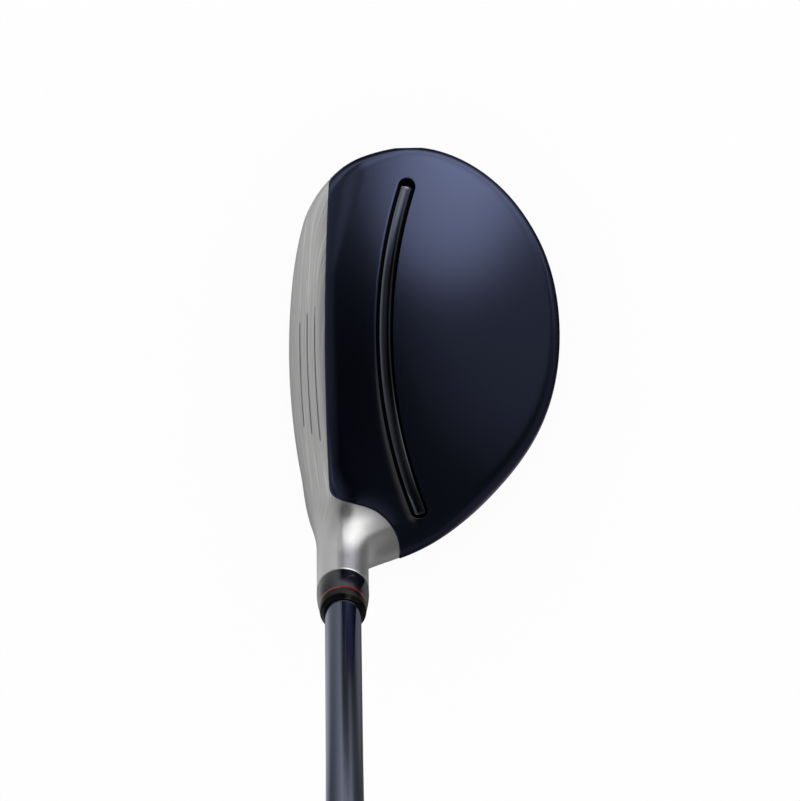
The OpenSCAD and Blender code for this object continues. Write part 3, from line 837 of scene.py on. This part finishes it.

# Painted light in the bead's colour: a painted highlight along the front land, painted shade along the rear
# one at the toe, a painted highlight towards the heel half and a painted reflection at the toe end
gloss = Finish(bpy.data.materials.new("gloss_black"))
x, y, z = gloss.place()
from_middle = apart(x - slot_c[0], y - slot_c[1]) - slot_r
toe_end = y.ramp(26.0, 46.0)
painted_front_highlight = from_middle.ramp(0.45 - 1.35 * toe_end, 1.35 - 0.7 * toe_end)
painted_rear_shade = from_middle.fade(-1.0, 0.1) * y.ramp(16.0, 30.0)
wave = gloss.speckle(0.3)
speck = gloss.speckle(6.0, 2.0, 0.6)
# painted highlight: the bead's colour is made paler towards the heel half
toward_heel = y.fade(-19.0, 0.0) * (0.1 + 0.9 * y.ramp(-33.0, -21.0))
black = gloss.colour(toward_heel, rgb(0.078, 0.090, 0.113), rgb(0.42, 0.45, 0.52))
# painted reflection: paler and bluer at the toe end
black = gloss.colour(y.ramp(25.0, 36.0), black, rgb(0.110, 0.132, 0.195))
black = gloss.colour(painted_rear_shade, black, rgb(0.020, 0.023, 0.030))
gloss.surface({
    "Base Color": gloss.colour(painted_front_highlight, black, rgb(0.39, 0.43, 0.56)), "Metallic": 1.0,
    "Roughness": 0.11 + 0.05 * speck, "Normal": gloss.bump(wave + speck * 0.1, 0.10, 0.0001)})

bead = line_object("slot_bead", bead_line * MM)
swells = bead.data.attributes.new("swell", "FLOAT", "POINT")
swells.data.foreach_set("value", swell)
sweep = Tree("bead_sweep", Section=bead_section, Tilt=0.0, Material=gloss.owner)
path = sweep.node("MeshToCurve", inputs={0: sweep.given["Shape"]})
path = sweep.node("SetCurveNormal", {"mode": "Z_UP"}, {0: path})
path = sweep.node("SetCurveTilt", inputs={0: path, 2: sweep.given["Tilt"]})
outline = sweep.node("ObjectInfo", inputs={0: sweep.given["Section"]}, outlet="Geometry")
outline = sweep.node("MeshToCurve", inputs={0: outline})
size = sweep.node("InputNamedAttribute", {"data_type": "FLOAT"}, {0: "swell"})
swept = sweep.node("CurveToMesh", inputs={
    "Curve": path, "Profile Curve": outline, "Scale": size, "Fill Caps": True})
sweep.finish(swept, sweep.given["Material"])
grow(bead, sweep)
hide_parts("crown_slot_bead")
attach(bead, "root")

# ---- Weight screw ----
# Turned steel weight in the rear of the sole, with a hexagon drive and a broken rim.
# It tunes the head's mass, and is screwed and locked into its port.

port_low = weight_x ** 2 / (2 * sole_r_depth)
head_low, head_t, thread_l, drive_r, drive_depth = port_low + 0.8, 3.6, 6.0, 2.2, 2.2
head_top, screw_top, drive_top = head_low + head_t, head_low + head_t + thread_l, head_low + drive_depth
around = 96


def ring_of(radius, z, hexagon=False):
    """Round or hexagonal ring of points of the screw."""
    a = np.arange(around) * 2 * np.pi / around
    if hexagon:
        radius = radius * np.cos(np.pi / 6) / np.cos((a + np.pi / 6) % (np.pi / 3) - np.pi / 6)
    return np.stack([weight_x + radius * np.cos(a), weight_y + radius * np.sin(a), np.full(around, z)], -1)


def thread(z0, z1, radius, pitch=1.0, depth=0.35):
    """Rings of a vee thread."""
    turns = np.arange(z0, z1, pitch / 2)
    return [ring_of(radius - depth * (i % 2), z) for i, z in enumerate(turns)]


# The two rings of 0.01 mm shrink to the points that close the screw's ends.
screw_rings = [ring_of(0.01, drive_top + 0.5), ring_of(drive_r * 0.9, drive_top, True),
               ring_of(drive_r, drive_top - 0.1, True), ring_of(drive_r, head_low + 0.25, True)]
screw_rings += [ring_of(radius, z) for radius, z in (
    (drive_r + 0.35, head_low), (4.2, head_low), (4.3, head_low + 0.12), (4.6, head_low + 0.12),
    (4.7, head_low), (5.6, head_low), (5.85, head_low + 0.1), (6.0, head_low + 0.35),
    (6.0, head_top - 0.3), (5.7, head_top), (2.7, head_top))]
screw_rings += thread(head_top + 0.3, screw_top - 0.6, 3.0)
screw_rings += [ring_of(2.4, screw_top), ring_of(0.01, screw_top)]
screw_points = np.concatenate(screw_rings) * MM
at = np.arange(len(screw_points)).reshape(len(screw_rings), around)
screw_mesh = bpy.data.meshes.new("weight_screw_turned")
screw_mesh.from_pydata(screw_points, [], quads(at, np.roll(at, -1, axis=1)))
cleaned(screw_mesh, merge=5e-5, sharp=0.5, fill=True)

turned = Finish(bpy.data.materials.new("turned_steel"))
x, y, z = turned.place()
rings = turned.grain(apart(x - weight_x, y - weight_y) * 9.0, z * 9.0, 0.0, 2.0, 0.6)
turned.surface({
    "Base Color": turned.colour(rings, rgb(0.30, 0.30, 0.31), rgb(0.52, 0.52, 0.53)), "Metallic": 1.0,
    "Roughness": 0.22 + 0.12 * rings, "Normal": turned.bump(rings, 0.2, 0.00002)})
screw_mesh.materials.append(turned.owner)
screw = added("weight_screw_turned", screw_mesh)
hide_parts("weight_screw")
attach(screw, "root")

# ---- Ferrule ----
# Three turned plastic rings, glued to each other and to the shaft and polished flush:
# a swelling skirt on the hosel, a thin red trim ring, and an end ring with a bevel.

hub, ferrule_inner, skirt_r = 1.0, 4.7, 6.28
skirt_end = hosel_top + 7.7
trim_end = skirt_end + 0.6
ferrule_end = trim_end + 3.4
bevel_low = ferrule_end - 1.1


def bore(outer):
    """Inner profile: a straight bore between the ends of an outer one."""
    return [(outer[0][0], ferrule_inner), (outer[-1][0], ferrule_inner)]


def turned_piece(name, outer, inner, finish, segments=128):
    """Ring or tube turned about the shaft line, from outer and inner profiles of (place, radius)."""
    section = [((r - hub) * MM, -s * MM, 0.0) for s, r in list(outer) + list(inner)[::-1]]
    lathe = Tree(name + "_lathe", Segments=segments, Hub=hub * MM, Lean=(np.pi / 2 - lie, 0.0, 0.0),
                 Foot=(shaft_x * MM, shaft_y * MM, 0.0), Material=finish)
    section_line = lathe.node("MeshToCurve", inputs={0: lathe.given["Shape"]})
    circle = lathe.node("CurvePrimitiveCircle", inputs={
        "Resolution": lathe.given["Segments"], "Radius": lathe.given["Hub"]})
    circle = lathe.node("SetCurveNormal", {"mode": "Z_UP"}, {0: circle})
    body = lathe.node("CurveToMesh", inputs={"Curve": circle, "Profile Curve": section_line})
    body = lathe.node("Transform", inputs={
        0: body, "Rotation": lathe.given["Lean"], "Translation": lathe.given["Foot"]})
    lathe.finish(body, lathe.given["Material"])
    return grow(line_object(name, section, closed=True), lathe)


skirt_black = grained("ferrule_black", 6.0, 2.0, (0.0010, 0.0010, 0.0018), (0.0022, 0.0022, 0.0036),
                      (0.09, 0.05), (0.06, 0.00002), {"IOR": 1.62, "Specular Tint": rgb(0.80, 0.86, 1.0)})
skirt = [(hosel_top + 0.02, hosel_r - 0.3), (hosel_top + 0.1, hosel_r - 0.12)]
for a in np.linspace(0, 1, 40):
    swelling = hosel_r + (skirt_r - hosel_r) * a * a + 0.08 * np.sin(np.pi * a)
    skirt.append((hosel_top + 0.25 + a * 7.45, swelling))
skirt_piece = turned_piece("skirt_gloss", skirt, bore(skirt), skirt_black)
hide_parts("ferrule_skirt")
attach(skirt_piece, "root")

red = grained("gloss_red", 6.0, 2.0, (0.15, 0.004, 0.005), (0.24, 0.008, 0.008),
              (0.12, 0.06), (0.08, 0.00003), {"IOR": 1.5})
trim = [(skirt_end + 0.005, skirt_r), (trim_end - 0.005, skirt_r - 0.05)]
trim_piece = turned_piece("trim_red", trim, bore(trim), red)
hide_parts("ferrule_trim_ring")
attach(trim_piece, "root")

ring_black = grained("ring_black", 6.0, 2.0, (0.0010, 0.0010, 0.0014), (0.0022, 0.0022, 0.0030),
                     (0.12, 0.06), (0.06, 0.00002), {"Specular IOR Level": 0.22})
end_ring = [(trim_end, skirt_r - 0.05), (bevel_low - 0.15, 6.01), (bevel_low, 5.96)]
end_ring += [(bevel_low + 0.12 + 0.9 * a, 5.9 - 0.9 * a) for a in np.linspace(0, 1, 10)]
end_ring.append((ferrule_end, 4.95))
end_piece = turned_piece("end_ring_gloss", end_ring, bore(end_ring), ring_black)
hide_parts("ferrule_end_ring")
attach(end_piece, "root")

# ---- Shaft ----
# Filament-wound graphite tube: a parallel tip that is glued into the hosel, then an
# even taper. It is ground, sprayed dark slate with fine metal flake and clear-coated.

tip_r, butt_r, shaft_wall = 4.7, 7.6, 1.3
seat_low = hosel_top - 32.0
taper_start = seat_low + 110.0
club_length = 1022.0
shaft_end = club_length - 4.5


def shaft_r(s):
    return tip_r + (butt_r - tip_r) * np.clip((s - taper_start) / (shaft_end - taper_start), 0, 1)


slate = Finish(bpy.data.materials.new("slate_paint"))
x, y, z = slate.place()
flake = slate.speckle(12.0, 1.0)
wave = slate.grain(x * 0.2, y * 0.08, z * 0.08, 2.0, 0.5)
slate.surface({
    "Base Color": slate.colour(flake, rgb(0.122, 0.134, 0.185), rgb(0.142, 0.156, 0.215)), "Metallic": 1.0,
    "Roughness": 0.10 + 0.05 * flake, "Specular Tint": rgb(0.92, 0.94, 1.0),
    "Normal": slate.bump(wave, 0.05, 0.0002)})
stations = np.concatenate([[seat_low + 0.5], np.linspace(ferrule_end, taper_start, 4),
                           np.linspace(taper_start, shaft_end, 24)[1:]])
shaft = turned_piece("shaft_tube", [(s, shaft_r(s)) for s in stations],
                     [(s, shaft_r(s) - shaft_wall) for s in stations], slate.owner, segments=96)
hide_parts("shaft")
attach(shaft, "root")

# ---- Grip ----
# Moulded rubber sleeve, slid over tape: a bead at its mouth, a tapered body with rows
# of small raised pads for hold, bands between them, and a swell under the cap.

grip_l, mouth_r, grip_butt_r, cap_r = 267.0, 9.2, 13.0, 14.38
mouth_l, mouth_step, swell_l, band_depth = 7.0, 0.6, 18.0, 0.35
grip_low = club_length - grip_l


def grip_r(s):
    """Radius of the grip's body."""
    t = np.clip((s - grip_low - mouth_l) / (grip_l - mouth_l - swell_l), 0, 1)
    body = mouth_r - mouth_step + (grip_butt_r - mouth_r) * t ** 1.3 + mouth_step * t
    rise = np.clip((s - (club_length - swell_l)) / 12, 0, 1)
    return body + (cap_r - 0.6 - grip_butt_r) * rise ** 1.6


bands = [grip_low + 9 + f * 228 for f in (0.0, 0.49, 0.51, 1.0)]
grip_outer = [(grip_low + s, mouth_r - under) for s, under in (
    (0.0, 0.8), (0.4, 0.35), (1.5, 0.0), (5.0, 0.0), (6.2, 0.25), (mouth_l, mouth_step))]
for s in np.arange(grip_low + 8, shaft_end - 1.4, 1.0):
    groove = max(max(0.0, 1 - abs(s - b) / 0.9) for b in bands)
    grip_outer.append((s, grip_r(s) - band_depth * groove))
grip_outer += [(shaft_end - 0.3, cap_r - 0.75), (shaft_end, cap_r - 0.9)]
grip_inner = [(s, shaft_r(s) + gap) for s, gap in (
    (grip_low, 0.02), (grip_low + 3, 0.02), (grip_low + 3, 0.25), (shaft_end, 0.25))]

rubber = Finish(bpy.data.materials.new("grip_rubber"))
x, y, z = rubber.place()
pores = rubber.speckle(4.0, 3.0, 0.6)
wear = rubber.grain(x * 0.08, y * 0.05, z * 0.05, 3.0, 0.5)
rubber.surface({
    "Base Color": rubber.colour(wear, rgb(0.014, 0.014, 0.015), rgb(0.030, 0.030, 0.031)),
    "Roughness": 0.55 + 0.2 * pores, "IOR": 1.5, "Normal": rubber.bump(pores, 0.35, 0.00008)})
grip = turned_piece("grip_sleeve", grip_outer, grip_inner, rubber.owner, segments=96)
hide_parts("grip")
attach(grip, "root")

pad_points = [(w * c, w * d, h) for w, h in ((1.0, -0.25), (0.7, 0.25))
              for c, d in ((-1, 0), (0, -1), (1, 0), (0, 1))]
pad_faces = [(4, 5, 6, 7), (0, 1, 5, 4), (1, 2, 6, 5), (2, 3, 7, 6), (3, 0, 4, 7), (3, 2, 1, 0)]
pad_mesh = bpy.data.meshes.new("grip_pad")
pad_mesh.from_pydata(pad_points, [], pad_faces)
pad = added("grip_pad", pad_mesh)
pads_around, pad_rows = 14, np.arange(grip_low + 13, club_length - 24, 3.4)
spots, ways, spans = [], [], []
for row, s in enumerate(pad_rows):
    if min(abs(s - b) for b in bands) < 2.2:
        continue
    for i in range(pads_around):
        a = (i + 0.5 * (row % 2)) * 2 * np.pi / pads_around
        spots.append((grip_r(s) * np.cos(a) * MM, grip_r(s) * np.sin(a) * MM, s * MM))
        ways.append((np.cos(a), np.sin(a), 0.0))
        spans.append((1.5 * MM, grip_r(s) * np.pi / pads_around * 0.8 * MM, 0.5 * MM))
pads_mesh = bpy.data.meshes.new("grip_pads")
pads_mesh.from_pydata(spots, [], [])
for key, values in (("way", ways), ("span", spans)):
    field = pads_mesh.attributes.new(key, "FLOAT_VECTOR", "POINT")
    field.data.foreach_set("vector", np.array(values, np.float32).ravel())
pads = added("grip_pads", pads_mesh)
tread = Tree("grip_tread", Pad=pad, Lean=(np.pi / 2 - lie, 0.0, 0.0),
             Foot=(shaft_x * MM, shaft_y * MM, 0.0), Material=rubber.owner)
unit_pad = tread.node("ObjectInfo", inputs={0: tread.given["Pad"]}, outlet="Geometry")
way = tread.node("InputNamedAttribute", {"data_type": "FLOAT_VECTOR"}, {0: "way"})
span = tread.node("InputNamedAttribute", {"data_type": "FLOAT_VECTOR"}, {0: "span"})
upright = tread.node("AxesToRotation", {"primary_axis": "Z", "secondary_axis": "X"},
                     {"Primary Axis": way, "Secondary Axis": (0.0, 0.0, 1.0)}, family="FunctionNode")
set_out = tread.node("InstanceOnPoints", inputs={
    "Points": tread.given["Shape"], "Instance": unit_pad, "Rotation": upright, "Scale": span})
set_out = tread.node("Transform", inputs={
    0: set_out, "Rotation": tread.given["Lean"], "Translation": tread.given["Foot"]})
tread.finish(set_out, tread.given["Material"])
grow(pads, tread, sharp=0.3)
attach(pads, "root")

# ---- Grip cap ----
# Harder moulded end cap, joined to the sleeve in the mould, with two rings on its top
# and a vent hole through its middle that lets air out as the grip is slid on.

vent_r = 1.5
cap_profile = [(shaft_end + s, cap_r - under) for s, under in (
    (0.0, 0.6), (0.3, 0.15), (0.6, 0.0), (2.2, 0.0), (3.0, 0.35), (3.9, 1.0), (4.25, 2.2),
    (4.4, 3.5), (4.5, 5.0))]
cap_profile += [(shaft_end + s, r) for s, r in (
    (4.5, 7.6), (4.25, 7.4), (4.25, 6.6), (4.5, 6.4), (4.5, 2.3), (4.2, 1.8), (3.8, vent_r))]
cap = turned_piece("cap_moulded", cap_profile, [(shaft_end, vent_r)], rubber.owner, segments=96)
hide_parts("grip_cap")
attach(cap, "root")

# ---- Inside the hosel and under the grip ----
# The brass tip weight, the plug under the shaft, the film of epoxy and the tape keep
# their solids; each gets the finish of its own stuff.

brass = grained("turned_brass", 5.0, 3.0, (0.50, 0.33, 0.12), (0.66, 0.46, 0.19),
                (0.28, 0.1), (0.2, 0.00005), {"Metallic": 1.0})
plug_rubber = grained("plug_rubber", 3.0, 3.0, (0.10, 0.08, 0.06), (0.16, 0.13, 0.10),
                      (0.7, 0.1), (0.2, 0.00005))
epoxy = grained("cured_epoxy", 1.5, 3.0, (0.38, 0.33, 0.16), (0.52, 0.46, 0.26), (0.3, 0.1), (0.2, 0.00005))
crepe = grained("crepe_tape", 2.0, 3.0, (0.55, 0.47, 0.30), (0.70, 0.62, 0.44), (0.8, 0.1), (0.2, 0.00005))
for node, finish in (("tip_weight", brass), ("bore_plug", plug_rubber), ("hosel_bond", epoxy),
                     ("grip_tape", crepe)):
    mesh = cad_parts[node].data
    mesh.materials.clear()
    mesh.materials.append(finish)

for helper in (bead_section, pad):
    bpy.data.objects.remove(helper)
